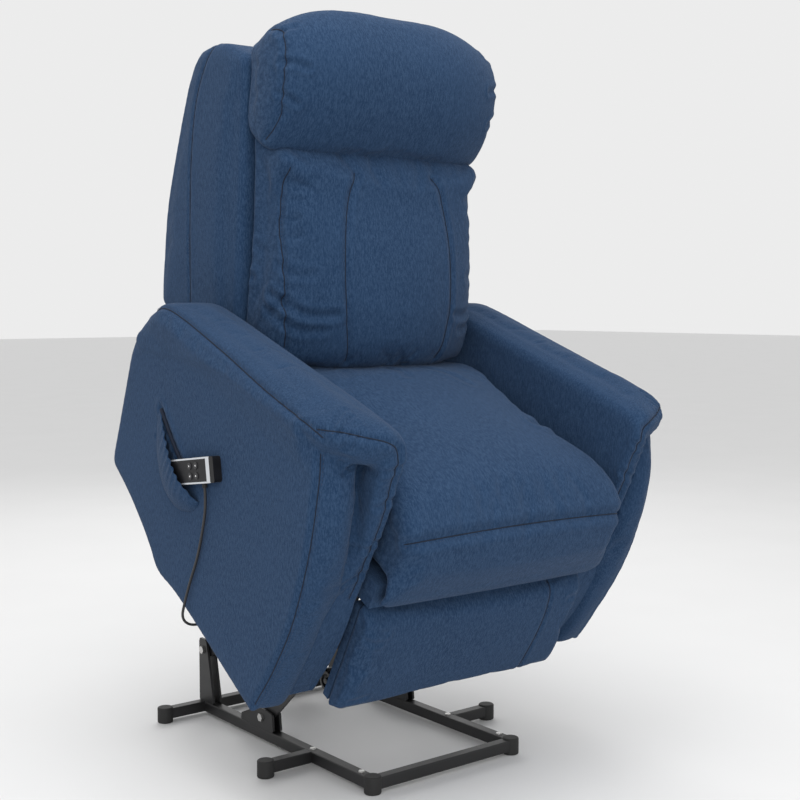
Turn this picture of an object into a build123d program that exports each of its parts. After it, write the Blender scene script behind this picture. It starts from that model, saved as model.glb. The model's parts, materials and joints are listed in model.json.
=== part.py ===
"""Lift recliner chair, standing at the top of its lift.

Millimetres, +Z up, floor at z = 0, the sitter faces -Y and the sitter's right hand is on -X.
The base is drawn on the ground plane. Everything that rides up is drawn on the chair plane: there y runs
to the back and z up from the floor as if the chair were lowered, and the plane itself leans forward.
"""

import os
from math import atan2, cos, degrees, hypot, radians, sin, tan

from build123d import *

os.makedirs("parts", exist_ok=True)

# ---------------------------------------------------------------- driving dimensions
chair_width = 804        # over the arm pads
arm_width = 136          # one arm, inner cover to outer panel
seat_gap = 6             # air between the seat and each arm
lift_tilt = 28           # forward tilt at the top of the lift
lifted_back = 85         # where the chair plane's origin stands when lifted
lifted_up = 302.5
stand_back = 113         # from the middle of the lifted chair's footprint back to the floor frame's middle

half_width = chair_width / 2
arm_inner = half_width - arm_width
seat_half = arm_inner - seat_gap
back_half = arm_inner - 4
cushion_half = back_half - 20

tube = 22                # square tube of the floor frame
foot_drop = 7.4          # the glides lift the tube off the floor
foot_radius = 16
rail_setback = 98        # from an arm's inner face in to the floor rail below it
rail_x = arm_inner - rail_setback
base_front = -303        # front face of the front crossbar
base_rear = 306
front_outrigger_y = -104.5
front_stance = 274       # centre of the glide at the outrigger's end
rear_stance = 267
tube_top = foot_drop + tube

plate = 5                # steel bracket thickness
link_thickness = 6
link_width = 36
bolt_radius = 5
running = 0.05           # radial clearance of a pivot bolt in its hole
open_slack = 8.5         # radial slack of a pivot that only guides
side_slack = 3           # gap between a link and the plate beside it

front_link_foot = (60, 52)
rear_arm_foot = (290, 140)
front_link_head = (-246.2, 78.9)
rear_arm_head = (-168.7, 128.8)

steel_rail_setback = 86  # from an arm's inner face in to the rails under the seat
steel_rail_width = 25
steel_rail_inner = arm_inner - steel_rail_setback
steel_rail_outer = steel_rail_inner + steel_rail_width
steel_rail_bottom = 262
seat_box_bottom = 287
seat_box_top = 330
seat_box_front = -400
seat_box_rear = 82
board = 22               # seat box timber

footrest_pivot = (-250, 262)
footrest_arm = 168
footrest_arm_angle = -40
footrest_head = (-338, 150)
guide_pivot = (-207.7, 264.5)
guide_offset = 45
board_link_offset = 40
board_link_drop = 78.8

back_hinge = (150, 330)
lever_tube = (170, 215)
recline_anchor = (-270, 240)
recline_x = 85
lift_anchor_rise = 15.6  # from the floor frame's top to the lift motor's rear pin
lift_anchor = (295, tube_top + lift_anchor_rise)
lift_head = (-120, 135)

# ---------------------------------------------------------------- planes and helpers
floor = Plane(origin=(0, stand_back, 0))
ground = Plane(origin=(0, stand_back, 0), x_dir=(0, 1, 0), z_dir=(1, 0, 0))
chair = Plane(
    origin=(0, stand_back + lifted_back, lifted_up),
    x_dir=(0, cos(radians(lift_tilt)), sin(radians(lift_tilt))),
    z_dir=(1, 0, 0),
)


def save(piece, label):
    """Label a finished piece and write it as its own STEP file."""
    piece.label = label
    export_step(piece, f"parts/{label}.step")


def on_ground(point):
    """A (y, z) point of the chair plane as a (y, z) point of the ground plane."""
    world = chair.from_local_coords(Vector(point[0], point[1], 0))
    return (world.Y - stand_back, world.Z)


def polar(start, length, angle):
    """The point at a length and an angle in degrees from a start point."""
    return (start[0] + length * cos(radians(angle)), start[1] + length * sin(radians(angle)))


def slab(plane, x_from, x_to, outline, rounding=0):
    """A flat piece between two x values, with an outline in (y, z) and rounded corners."""
    with BuildPart() as piece:
        with BuildSketch(plane.offset(x_from)) as face:
            with BuildLine():
                Polyline(*outline, close=True)
            make_face()
            if rounding:
                fillet(face.vertices(), rounding)
        extrude(amount=x_to - x_from)
    return piece.part


def pillow(plane, half, outline, rounding, edge):
    """A plain stuffed form: an outline carried across the chair, with its long edges eased."""
    with BuildPart() as piece:
        with BuildSketch(plane.offset(-half)) as face:
            with BuildLine():
                Polyline(*outline, close=True)
            make_face()
            fillet(face.vertices(), rounding)
        extrude(amount=2 * half)
        rims = piece.faces().filter_by(Axis.X).edges()
        fillet(rims, edge)
    return piece.part


def bar(plane, x_from, start, end, width, start_hole, end_hole, thickness=link_thickness):
    """A flat link with round ends and a hole at each pivot."""
    angle = degrees(atan2(end[1] - start[1], end[0] - start[0]))
    middle = ((start[0] + end[0]) / 2, (start[1] + end[1]) / 2)
    reach = hypot(end[0] - start[0], end[1] - start[1])
    with BuildPart() as piece:
        with BuildSketch(plane.offset(x_from)):
            with Locations(middle):
                SlotCenterToCenter(reach, width, rotation=angle)
            with Locations(start):
                Circle(start_hole, mode=Mode.SUBTRACT)
            with Locations(end):
                Circle(end_hole, mode=Mode.SUBTRACT)
        extrude(amount=thickness)
    return piece.part


def rod(plane, x_from, x_to, centre, radius, bore=0):
    """A round bar or tube across the chair."""
    with BuildPart() as piece:
        with BuildSketch(plane.offset(x_from)):
            with Locations(centre):
                Circle(radius)
                if bore:
                    Circle(bore, mode=Mode.SUBTRACT)
        extrude(amount=x_to - x_from)
    return piece.part


def bolt(plane, head_at, tip_at, centre, radius=bolt_radius):
    """A pivot bolt from the face its head bears on to the tip, with a nut on the tip."""
    way = 1 if tip_at > head_at else -1
    with BuildPart() as piece:
        with BuildSketch(plane.offset(head_at)):
            with Locations(centre):
                Circle(radius)
        extrude(amount=tip_at - head_at)
        with BuildSketch(plane.offset(head_at)):
            with Locations(centre):
                RegularPolygon(radius * 1.7, 6)
        extrude(amount=-way * radius * 0.9)
        with BuildSketch(plane.offset(tip_at)):
            with Locations(centre):
                RegularPolygon(radius * 1.7, 6)
        extrude(amount=way * radius * 0.8)
    return piece.part


def both_sides(*pieces):
    """The given right-hand pieces together with their mirror images."""
    with BuildPart() as pair:
        for piece in pieces:
            add(piece)
        mirror(about=Plane.YZ)
    return pair.part


def mirrored(piece):
    """The mirror image of a right-hand piece."""
    with BuildPart() as other:
        add(piece)
        mirror(about=Plane.YZ, mode=Mode.REPLACE)
    return other.part


# ---------------------------------------------------------------- floor frame
rail_out = rail_x + tube / 2
rail_in = rail_x - tube / 2
rear_bar_front = base_rear - tube

with BuildPart() as base_side_rail:
    with BuildSketch(floor.offset(foot_drop)):
        with Locations((rail_x, (base_front + rear_bar_front) / 2)):
            Rectangle(tube, rear_bar_front - base_front)
    extrude(amount=tube)
    fillet(base_side_rail.edges().filter_by(Axis.Y), 2.5)
save(both_sides(base_side_rail.part), "base_side_rails")

with BuildPart() as base_crossbars:
    with BuildSketch(floor.offset(foot_drop)):
        with Locations((0, base_front + tube / 2)):
            Rectangle(2 * rail_in, tube)
        with Locations((0, base_rear - tube / 2)):
            Rectangle(2 * rear_stance, tube)
    extrude(amount=tube)
    fillet(base_crossbars.edges().filter_by(Axis.X), 2.5)
save(base_crossbars.part, "base_crossbars")

with BuildPart() as front_outrigger:
    with BuildSketch(floor.offset(foot_drop)):
        with Locations(((rail_out + front_stance) / 2, front_outrigger_y)):
            Rectangle(front_stance - rail_out, tube)
    extrude(amount=tube)
    fillet(front_outrigger.edges().filter_by(Axis.X), 2.5)
save(both_sides(front_outrigger.part), "front_outriggers")

glide_spots = [
    (front_stance, front_outrigger_y),
    (rear_stance, base_rear - tube / 2),
    (rail_x, base_front + tube / 2),
]
with BuildPart() as foot_glide:
    with Locations(*[(x, y + stand_back, 0) for x, y in glide_spots]):
        Cylinder(foot_radius, tube_top + 3, align=(Align.CENTER, Align.CENTER, Align.MIN))
    fillet(foot_glide.faces().filter_by(Axis.Z).edges(), 3)
    for tubing in (base_side_rail.part, front_outrigger.part, base_crossbars.part):
        add(tubing, mode=Mode.SUBTRACT)
save(both_sides(foot_glide.part), "foot_glides")

bracket_inner = rail_in
link_x = rail_in + plate + side_slack
bracket_outer = link_x + link_thickness + side_slack
bracket_end = bracket_outer + plate


def cheeks(outline, pivot):
    """The two cheeks of a pivot bracket, either side of a link."""
    with BuildPart() as pair:
        for x_from in (bracket_inner, bracket_outer):
            add(slab(ground, x_from, x_from + plate, outline, 4))
            add(rod(ground, x_from, x_from + plate, pivot, bolt_radius + running), mode=Mode.SUBTRACT)
    return pair.part


front_cheeks = cheeks(
    [(18, tube_top), (22, 66), (70, 72), (135, 44), (138, tube_top)],
    front_link_foot,
)
save(both_sides(front_cheeks), "front_link_brackets")

rear_cheeks = cheeks(
    [(248, tube_top), (274, 156), (280, 164), (302, 164), (305, 156), (305, tube_top)],
    rear_arm_foot,
)
save(both_sides(rear_cheeks), "rear_arm_uprights")

base_bolts = [
    bolt(ground, bracket_end, bracket_inner, pivot) for pivot in (front_link_foot, rear_arm_foot)
]

with BuildPart() as frame_bolt:
    for y in (front_outrigger_y, base_front + 2 * tube, rear_bar_front - tube / 2):
        with Locations((rail_x, y + stand_back, tube_top)):
            Cylinder(6, 3, align=(Align.CENTER, Align.CENTER, Align.MIN))
    fillet(frame_bolt.faces().group_by(Axis.Z)[-1].edges(), 1.5)
base_bolts.append(frame_bolt.part)
save(both_sides(*base_bolts), "base_bolts")

lug_gap = 11             # from an actuator's centre plane to each lug
with BuildPart() as lift_motor_bracket:
    for x_from in (-lug_gap - plate, lug_gap):
        lug = [(283, tube_top), (283, 55), (307, 55), (307, tube_top)]
        add(slab(ground, x_from, x_from + plate, lug, 3))
    add(rod(ground, -lug_gap - plate, lug_gap + plate, lift_anchor, bolt_radius), mode=Mode.ADD)
save(lift_motor_bracket.part, "lift_motor_bracket")

# ---------------------------------------------------------------- lift arms and links
snug = bolt_radius + running
loose = bolt_radius + open_slack - 1.5
rear_arm = bar(ground, link_x, rear_arm_foot, on_ground(rear_arm_head), link_width, snug, snug)
arm_head = on_ground(rear_arm_head)
arm_angle = degrees(atan2(arm_head[1] - rear_arm_foot[1], arm_head[0] - rear_arm_foot[0]))
torque_centre = polar(rear_arm_foot, 105, arm_angle)
with BuildPart() as rear_lift_arms:
    add(both_sides(rear_arm))
    add(rod(ground, -link_x, link_x, torque_centre, 11, 9))
save(rear_lift_arms.part, "rear_lift_arms")

front_link = bar(ground, link_x, front_link_foot, on_ground(front_link_head), link_width, snug, loose)
link_head = on_ground(front_link_head)
tie_centre = ((front_link_foot[0] + link_head[0]) / 2, (front_link_foot[1] + link_head[1]) / 2)
with BuildPart() as front_lift_links:
    add(both_sides(front_link))
    add(rod(ground, -link_x, link_x, tie_centre, 9, 7))
save(front_lift_links.part, "front_lift_links")

# ---------------------------------------------------------------- steel frame under the seat
chair_plate_x = link_x + link_thickness + side_slack
steel_rail = slab(
    chair, steel_rail_inner, steel_rail_outer,
    [(-320, steel_rail_bottom), (-320, seat_box_bottom), (235, seat_box_bottom), (235, steel_rail_bottom)],
)
save(both_sides(steel_rail), "seat_steel_rails")

with BuildPart() as lift_pivot_plate:
    outline = [(-264, 60), (-232, 58), (-150, 112), (-100, 165), (-95, seat_box_bottom),
               (-290, seat_box_bottom), (-290, 245)]
    add(slab(chair, chair_plate_x, steel_rail_inner, outline, 8))
    for pivot in (front_link_head, rear_arm_head):
        add(rod(chair, chair_plate_x, steel_rail_inner, pivot, snug), mode=Mode.SUBTRACT)
save(both_sides(lift_pivot_plate.part), "lift_pivot_plates")

cross_tubes = {"front": (recline_anchor[0], 266), "middle": (lift_head[0], 200), "rear": (205, 273)}
with BuildPart() as seat_cross_tubes:
    for centre in cross_tubes.values():
        add(rod(chair, -chair_plate_x, chair_plate_x, centre, 11, 9))
save(seat_cross_tubes.part, "seat_cross_tubes")


def hanging_lugs(x_centre, tube_centre, pin):
    """Two lugs hanging from a cross tube, with the pin an actuator's eye turns on."""
    with BuildPart() as pair:
        for x_from in (x_centre - lug_gap - plate, x_centre + lug_gap):
            add(bar(chair, x_from, tube_centre, pin, 30, 11, 2, plate))
        add(rod(chair, x_centre - lug_gap - plate, x_centre + lug_gap + plate, pin, bolt_radius))
    return pair.part


with BuildPart() as actuator_lugs:
    add(hanging_lugs(0, cross_tubes["middle"], lift_head))
    add(hanging_lugs(recline_x, cross_tubes["front"], recline_anchor))
save(actuator_lugs.part, "actuator_lugs")

with BuildPart() as seat_side_plate:
    footrest_face = [(-280, 238), (-280, seat_box_bottom - 1), (-180, seat_box_bottom - 1), (-180, 238)]
    add(slab(chair, steel_rail_outer, steel_rail_outer + plate, footrest_face, 8))
    hinge_face = [(110, steel_rail_bottom), (110, 300), (128, 347), (172, 347), (230, 286),
                  (230, steel_rail_bottom)]
    add(slab(chair, steel_rail_outer, steel_rail_outer + plate, hinge_face, 8))
    for pivot in (footrest_pivot, guide_pivot, back_hinge):
        add(rod(chair, steel_rail_outer, steel_rail_outer + plate, pivot, snug), mode=Mode.SUBTRACT)
save(both_sides(seat_side_plate.part), "seat_side_plates")

# ---------------------------------------------------------------- seat
with BuildPart() as seat_box:
    for y_from in (seat_box_front, seat_box_rear - board):
        side_face = [(y_from, seat_box_bottom), (y_from, seat_box_top),
                     (y_from + board, seat_box_top), (y_from + board, seat_box_bottom)]
        add(slab(chair, -seat_half, seat_half, side_face))
    side_rail = [(seat_box_front + board, seat_box_bottom), (seat_box_front + board, seat_box_top),
                 (seat_box_rear - board, seat_box_top), (seat_box_rear - board, seat_box_bottom)]
    add(slab(chair, seat_half - board, seat_half, side_rail))
    add(slab(chair, -seat_half, board - seat_half, side_rail))
save(seat_box.part, "seat_box")

spring_wire = 4
spring_top = seat_box_top - 4
spring_start = seat_box_front + board + 3
spring_end = seat_box_rear - board - 3
spring_pitch = 30
zigzags = int((spring_end - spring_start) / spring_pitch)
spring_plane = Plane(
    origin=chair.from_local_coords(Vector(0, spring_top - spring_wire, 0)),
    x_dir=(1, 0, 0),
    z_dir=chair.y_dir,
)
with BuildPart() as seat_springs:
    with BuildSketch(spring_plane):
        for column in (-160, -80, 0, 80, 160):
            with BuildLine():
                turns = [
                    (column + (18 if step % 2 else -18), spring_start + (step + 0.5) * spring_pitch)
                    for step in range(zigzags)
                ]
                Polyline((column, spring_start), *turns, (column, spring_end))
            trace(line_width=spring_wire)
    extrude(amount=spring_wire)
save(seat_springs.part, "seat_springs")

deck_top = seat_box_top + 6
deck = slab(
    chair, -seat_half, seat_half,
    [(seat_box_front, seat_box_top), (seat_box_front, deck_top), (seat_box_rear, deck_top),
     (seat_box_rear, seat_box_top)],
)
save(deck, "seat_deck")

seat_outline = [
    (20, deck_top), (20, 488), (-160, 494), (-330, 500), (-405, 478), (-441, 420), (-442, 320),
    (-430, 293), (seat_box_front - 1, 293), (seat_box_front - 1, deck_top),
]
save(pillow(chair, seat_half, seat_outline, 0.8, 5), "seat_cushion")

# ---------------------------------------------------------------- arms, drawn on +X, the sitter's left
panel_thickness = 18
pad_overhang = 6
panel_face = half_width - pad_overhang
frame_outer = panel_face - panel_thickness
cover = 4
frame_inner = arm_inner + cover
arm_slope = 0.116        # the arm's top rises towards the front
panel_front_top = (-318, 545)
panel_front_foot = (-364, 54)
panel_front_bulge = (-393, 263)


def arm_top(y, drop=0):
    """Height of the arm pad's underside at a given y."""
    return panel_front_top[1] - arm_slope * (y - panel_front_top[0]) - drop


def arm_section(x_from, x_to, inset, top_drop):
    """The arm's side outline, inset all round, as a solid between two x values."""
    with BuildPart() as piece:
        with BuildSketch(chair.offset(x_from)):
            with BuildLine():
                foot = (panel_front_foot[0] + inset, panel_front_foot[1] + inset * 0.6)
                bulge = (panel_front_bulge[0] + inset, panel_front_bulge[1])
                front_top = (panel_front_top[0] + inset, arm_top(panel_front_top[0] + inset, top_drop))
                rear_top = (262 - inset, arm_top(262 - inset, top_drop))
                shoulder = (306 - inset, 389)
                rear_corner = (281 - inset, 150 + inset * 0.4)
                step = (30, 58 + inset * 0.6)
                ThreePointArc(foot, bulge, front_top)
                Polyline(front_top, rear_top, shoulder, rear_corner)
                Spline(rear_corner, (190 - inset * 0.4, 122 + inset * 0.7), step)
                Line(step, foot)
            make_face()
        extrude(amount=x_to - x_from)
    return piece.part


wall = 14
with BuildPart() as arm_frame:
    add(arm_section(frame_inner, frame_outer, panel_thickness, 2))
    add(arm_section(frame_inner + wall, frame_outer - wall, panel_thickness + wall, 2 + wall), mode=Mode.SUBTRACT)
    with BuildSketch(chair.offset(frame_inner + wall)):
        with Locations((-110, 70)):
            Rectangle(380, 70)
    extrude(amount=frame_outer - frame_inner - 2 * wall, mode=Mode.SUBTRACT)
save(arm_frame.part, "left_arm_frame")
save(mirrored(arm_frame.part), "right_arm_frame")

outer_panel = arm_section(frame_outer, frame_outer + panel_thickness, 0, 0)
save(outer_panel, "left_arm_outer_panel")

with BuildPart() as arm_front:
    add(arm_section(frame_inner, frame_outer, 0, 2))
    add(arm_section(frame_inner, frame_outer, panel_thickness, 2), mode=Mode.SUBTRACT)
    with BuildSketch(chair.offset(frame_inner)):
        with Locations((120, 300)):
            Rectangle(800, 700)
    extrude(amount=frame_outer - frame_inner, mode=Mode.SUBTRACT)
save(arm_front.part, "left_arm_front_panel")
save(mirrored(arm_front.part), "right_arm_front_panel")

mount_front = -20        # the steel bar that carries each arm, under the seat box
mount_rear = 50
mount_bottom = steel_rail_bottom + 4
mount_face = [
    (mount_front, mount_bottom), (mount_front, seat_box_bottom - 1), (mount_rear, seat_box_bottom - 1),
    (mount_rear, mount_bottom),
]
save(both_sides(slab(chair, steel_rail_outer, frame_inner, mount_face, 3)), "arm_mounting_bars")

with BuildPart() as inner_cover:
    add(arm_section(arm_inner, frame_inner, 2, 2))
    add(slab(chair, arm_inner - 1, frame_inner, mount_face, 3), mode=Mode.SUBTRACT)
save(inner_cover.part, "left_arm_inner_cover")
save(mirrored(inner_cover.part), "right_arm_inner_cover")

pad_outline = [
    (-316, arm_top(-316)), (-352, 552), (-384, 563), (-398, 588), (-380, 612), (-335, 625),
    (-120, 592), (160, 552), (235, 538), (272, 508), (298, 440), (300, 400), (290, 395),
    (262, arm_top(262)),
]
with BuildPart() as arm_pad:
    with BuildSketch(chair.offset(arm_inner - 2)) as pad_face:
        with BuildLine():
            Polyline(*pad_outline, close=True)
        make_face()
    extrude(amount=arm_width + 2)
    add(arm_section(arm_inner - 3, half_width + 1, 0, 0), mode=Mode.SUBTRACT)
    upper_edges = arm_pad.faces().filter_by(Axis.X).edges().group_by(Axis.Z)[-1]
    fillet(upper_edges, 12)
save(arm_pad.part, "left_arm_pad")
save(mirrored(arm_pad.part), "right_arm_pad")

# ---------------------------------------------------------------- handset pocket, on the sitter's right
handset_angle = 144      # from the chair plane's y, so its free end points forward and up
handset_length = 165
handset_width = 46
handset_thickness = 19
handset_sink = 55        # length hidden in the pocket
mouth = (2, 306)         # the handset's centre line where it leaves the pocket
pocket_depth = 8
pocket_cloth = 2.5
pocket_bulge = handset_thickness + 0.5 + pocket_cloth

pocket_outline = [(142, 352), (24, 302), (-26, 292), (-8, 262), (40, 226), (150, 226), (176, 262), (172, 330)]
pocket_hollow = [(142, 352), (24, 302), (-22, 292), (-2, 266), (44, 232), (146, 232), (168, 264), (164, 332)]
pocket_mouth = [(176, 366), (24, 297), (-40, 284), (-40, 400), (176, 400)]
with BuildPart() as handset_panel:
    add(mirrored(outer_panel))
    add(slab(chair, -panel_face - 1, -panel_face + pocket_depth, pocket_hollow, 2), mode=Mode.SUBTRACT)
save(handset_panel.part, "right_arm_outer_panel")

with BuildPart() as handset_pocket:
    add(slab(chair, -panel_face - pocket_bulge, -panel_face, pocket_outline, 3))
    add(slab(chair, -panel_face - pocket_bulge + pocket_cloth, -panel_face, pocket_hollow, 2), mode=Mode.SUBTRACT)
    add(slab(chair, -panel_face - pocket_bulge, -panel_face, pocket_mouth), mode=Mode.SUBTRACT)
save(handset_pocket.part, "handset_pocket")

# ---------------------------------------------------------------- handset
# Its own plane lies on the outer panel: local x runs to the free end, local z away from the chair.
handset_plane = Plane(
    origin=chair.from_local_coords(Vector(mouth[0], mouth[1], -panel_face)),
    x_dir=chair.x_dir * cos(radians(handset_angle)) + chair.y_dir * sin(radians(handset_angle)),
    z_dir=(-1, 0, 0),
)
handset_back = 0.3
face_height = handset_thickness - 3
face_thickness = 1.5
cap_length = 14
band_length = 12
rim = 3
case_end = handset_length - handset_sink
face_end = case_end - cap_length - band_length
button_radius = 6.3
button_gap = 0.3
button_travel = 1
button_columns = (28, 50)
button_rows = (9, -9)
button_spots = [(x, y) for x in button_columns for y in button_rows]
handset_side = handset_width / 2


def block(height, top, x_from, x_to, half, corner=0):
    """A rectangular piece standing on the handset's plane between two heights."""
    with BuildPart() as piece:
        with BuildSketch(handset_plane.offset(height)) as face:
            with Locations(((x_from + x_to) / 2, 0)):
                Rectangle(x_to - x_from, 2 * half)
            if corner:
                fillet(face.vertices(), corner)
        extrude(amount=top - height)
    return piece.part


def posts(height, top, radius, spots):
    """Round posts on the handset's plane at the given spots."""
    with BuildPart() as pieces:
        with BuildSketch(handset_plane.offset(height)):
            with Locations(*spots):
                Circle(radius)
        extrude(amount=top - height)
    return pieces.part


well_floor = face_height - button_travel - 1
with BuildPart() as handset_case:
    add(block(handset_back, face_height, -handset_sink, case_end, handset_side, 7))
    add(block(face_height, face_height + face_thickness, case_end - cap_length, case_end, handset_side, 4))
    add(posts(well_floor, face_height, button_radius + button_gap, button_spots), mode=Mode.SUBTRACT)
save(handset_case.part, "handset_case")

face_start = rim - handset_sink
face_top = face_height + face_thickness
with BuildPart() as handset_face:
    add(block(face_height, face_top, face_start, face_end, handset_side - rim))
    add(posts(face_height, face_top, button_radius + button_gap, button_spots), mode=Mode.SUBTRACT)
save(handset_face.part, "handset_face")

with BuildPart() as handset_band:
    add(block(face_height, face_top, face_start + rim, case_end - cap_length, handset_side))
    add(block(face_height, face_top, face_start, face_end, handset_side - rim), mode=Mode.SUBTRACT)
save(handset_band.part, "handset_band")

button_names = ("lift_button", "lower_button", "recline_button", "upright_button")
for name, spot in zip(button_names, button_spots):
    save(posts(well_floor + button_travel, handset_thickness, button_radius, [spot]), name)

# ---------------------------------------------------------------- control box
box_low = 240
box_front = -40
box_back = 80
box_side = -90
with BuildPart() as control_box:
    box_face = [(box_front, box_low), (box_front, seat_box_bottom), (box_back, seat_box_bottom),
                (box_back, box_low)]
    add(slab(chair, -steel_rail_inner, box_side, box_face, 4))
save(control_box.part, "control_box")

inlet_depth = 12
with BuildPart() as mains_inlet:
    inlet = [(box_back, 250), (box_back, 276), (box_back + inlet_depth, 276), (box_back + inlet_depth, 250)]
    add(slab(chair, -150, -118, inlet))
    well = [(box_back + 2, 254), (box_back + 2, 272), (box_back + inlet_depth, 272),
            (box_back + inlet_depth, 254)]
    add(slab(chair, -145, -123, well), mode=Mode.SUBTRACT)
    for x in (-139, -129):
        pin_plane = Plane(
            origin=chair.from_local_coords(Vector(box_back + 2, 263, x)),
            x_dir=(1, 0, 0),
            z_dir=chair.x_dir,
        )
        with BuildSketch(pin_plane):
            Circle(1.2)
        extrude(amount=8)
save(mains_inlet.part, "mains_inlet")

# ---------------------------------------------------------------- the handset's cord
cord_radius = 2.5
exit_along = 59
exit_height = 8
gland_length = 8
socket_length = 12
cord_socket = (-150, 0, box_low)  # x, y and z of the cord's way into the control box


def sleeve(start, direction, length, outer):
    """A short strain relief round the cord."""
    with BuildPart() as piece:
        with BuildSketch(Plane(origin=start, x_dir=(1, 0, 0), z_dir=direction)):
            Circle(outer)
            Circle(cord_radius, mode=Mode.SUBTRACT)
        extrude(amount=length)
    return piece.part


cord_exit = handset_plane.from_local_coords(Vector(exit_along, -handset_side, exit_height))
socket_top = chair.from_local_coords(Vector(cord_socket[1], cord_socket[2], cord_socket[0]))
with BuildPart() as cord_glands:
    add(sleeve(cord_exit, handset_plane.y_dir * -1, gland_length, cord_radius + 2))
    add(sleeve(socket_top, chair.y_dir * -1, socket_length, cord_radius + 3))
save(cord_glands.part, "cord_glands")

# Points in (x, y, z) of the chair plane: down the side panel, round its bottom edge, up to the box.
cord_route = [
    (-403, -91, 238),
    (-402, -96, 185),
    (-403, -95, 135),
    (-405, -99, 90),
    (-403, -100, 52),
    (-375, -96, 26),
    (-330, -86, 20),
    (-285, -72, 32),
    (-248, -50, 68),
    (-220, -25, 112),
    (-195, -2, 162),
    (-150, 0, 200),
]


def bend_radii(points):
    """Each corner's arc: 0.45 of its shorter run, over the tangent of half the turn."""
    radii = []
    for before, corner, after in zip(points, points[1:], points[2:]):
        one = corner - before
        two = after - corner
        half_turn = radians(one.get_angle(two)) / 2
        radii.append(0.45 * min(one.length, two.length) / tan(half_turn))
    return radii


first_run = 38
first_bend = handset_plane.from_local_coords(Vector(exit_along, -handset_side - first_run, exit_height))
middle_points = [chair.from_local_coords(Vector(y, z, x)) for x, y, z in cord_route]
cord_points = [cord_exit, first_bend, *middle_points, socket_top]
cord_radii = bend_radii(cord_points)
print("cord bend radii, mm:", [round(radius) for radius in cord_radii])
with BuildPart() as handset_cord:
    with BuildLine() as cord_line:
        FilletPolyline(*cord_points, radius=cord_radii)
    with BuildSketch(Plane(origin=cord_points[0], z_dir=cord_points[1] - cord_points[0])):
        Circle(cord_radius)
    sweep()
save(handset_cord.part, "handset_cord")
print("cord length, mm:", round(sum(edge.length for edge in cord_line.edges()), 1))

# ---------------------------------------------------------------- backrest
shell_wall = 28
shell_outline = [
    (160, 425), (198, 526), (379, 951), (403, 961), (480, 948), (549, 905), (569, 850), (572, 800), (564, 704),
    (548, 589), (520, 502), (476, 403), (440, 386),
]
cavity_outline = [
    (120, 360), (160, 500), (340, 930), (400, 931), (470, 918), (524, 884), (541, 842), (543, 800), (535, 706),
    (519, 594), (492, 512), (440, 360),
]
with BuildPart() as back_shell:
    add(slab(chair, -back_half, back_half, shell_outline, 5))
    add(slab(chair, shell_wall - back_half, back_half - shell_wall, cavity_outline), mode=Mode.SUBTRACT)
save(back_shell.part, "back_shell")

post_outer = back_half - shell_wall
hinge_x = steel_rail_outer + plate + side_slack
post_inner = hinge_x + plate
post_foot = (232, 440)
post_head = (406, 905)
post_width = 44
post_outline = [
    post_foot, (post_foot[0] + post_width, post_foot[1]), (post_head[0] + post_width, post_head[1]), post_head,
]
post_lean = (post_head[0] - post_foot[0]) / (post_head[1] - post_foot[1])
rail_depth = 24
rail_height = 40
with BuildPart() as back_bracket:
    lever = [
        (136, 330), (158, 205), (182, 205), (190, 300), (262, 442), (318, 560), (276, 560), (240, 470), (160, 350),
    ]
    add(slab(chair, hinge_x, post_inner, lever, 3))
    add(rod(chair, hinge_x, post_inner, back_hinge, 20))
    add(rod(chair, hinge_x, post_inner, back_hinge, snug), mode=Mode.SUBTRACT)
back_brackets = both_sides(back_bracket.part)
save(back_brackets, "back_hinge_brackets")

with BuildPart() as back_frame:
    add(both_sides(slab(chair, post_inner, post_outer, post_outline)))
    for low in (450, 660, 860):
        front = post_foot[0] + 8 + (low - post_foot[1]) * post_lean
        lean = rail_height * post_lean
        rail_face = [
            (front, low), (front + rail_depth, low), (front + rail_depth + lean, low + rail_height),
            (front + lean, low + rail_height),
        ]
        add(slab(chair, -post_inner, post_inner, rail_face))
    add(back_brackets, mode=Mode.SUBTRACT)
save(back_frame.part, "back_frame")

lever_radius = 9
save(rod(chair, -hinge_x, hinge_x, lever_tube, lever_radius, lever_radius - 2), "back_lever_tube")

cushion_outline = [
    (186, 499), (326, 828), (216, 828), (178, 790), (128, 730), (70, 650), (40, 590), (22, 545), (12, 506),
]
save(pillow(chair, cushion_half, cushion_outline, 1.5, 1.4), "back_cushion")

headrest_outline = [
    (216, 832), (196, 880), (196, 945), (226, 1015), (276, 1064), (340, 1078), (378, 1045), (392, 990),
    (377, 955), (325, 832),
]
save(pillow(chair, back_half, headrest_outline, 1.5, 1.4), "headrest_pillow")

# ---------------------------------------------------------------- footrest linkage
knee = polar(footrest_pivot, footrest_arm, footrest_arm_angle)
shin_angle = degrees(atan2(footrest_head[1] - knee[1], footrest_head[0] - knee[0]))
guide_knee = polar(knee, -guide_offset, shin_angle)
board_link_knee = polar(knee, board_link_offset, footrest_arm_angle)
board_link_head = (footrest_head[0], footrest_head[1] - board_link_drop)
thigh_x = hinge_x + 1
shin_x = thigh_x + link_thickness + side_slack
outer_x = shin_x + link_thickness + side_slack
outer_end = outer_x + link_thickness
link_bar = 26
eye_wall = 4.5
stud = bolt_radius
guide_slack = stud + 5.5
board_slack = stud + 8

with BuildPart() as drive_link:
    add(bar(chair, thigh_x, footrest_pivot, board_link_knee, link_bar, snug, 2))
    add(rod(chair, thigh_x, shin_x + link_thickness + 1, knee, stud))
    add(rod(chair, thigh_x, outer_end + 1, board_link_knee, stud))
save(both_sides(drive_link.part), "footrest_drive_links")

with BuildPart() as shin_link:
    add(bar(chair, shin_x, footrest_head, guide_knee, link_bar, snug, 2))
    add(rod(chair, shin_x, outer_end + 1, guide_knee, stud))
    add(rod(chair, shin_x, shin_x + link_thickness, knee, snug), mode=Mode.SUBTRACT)
save(both_sides(shin_link.part), "footrest_shin_links")

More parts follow.
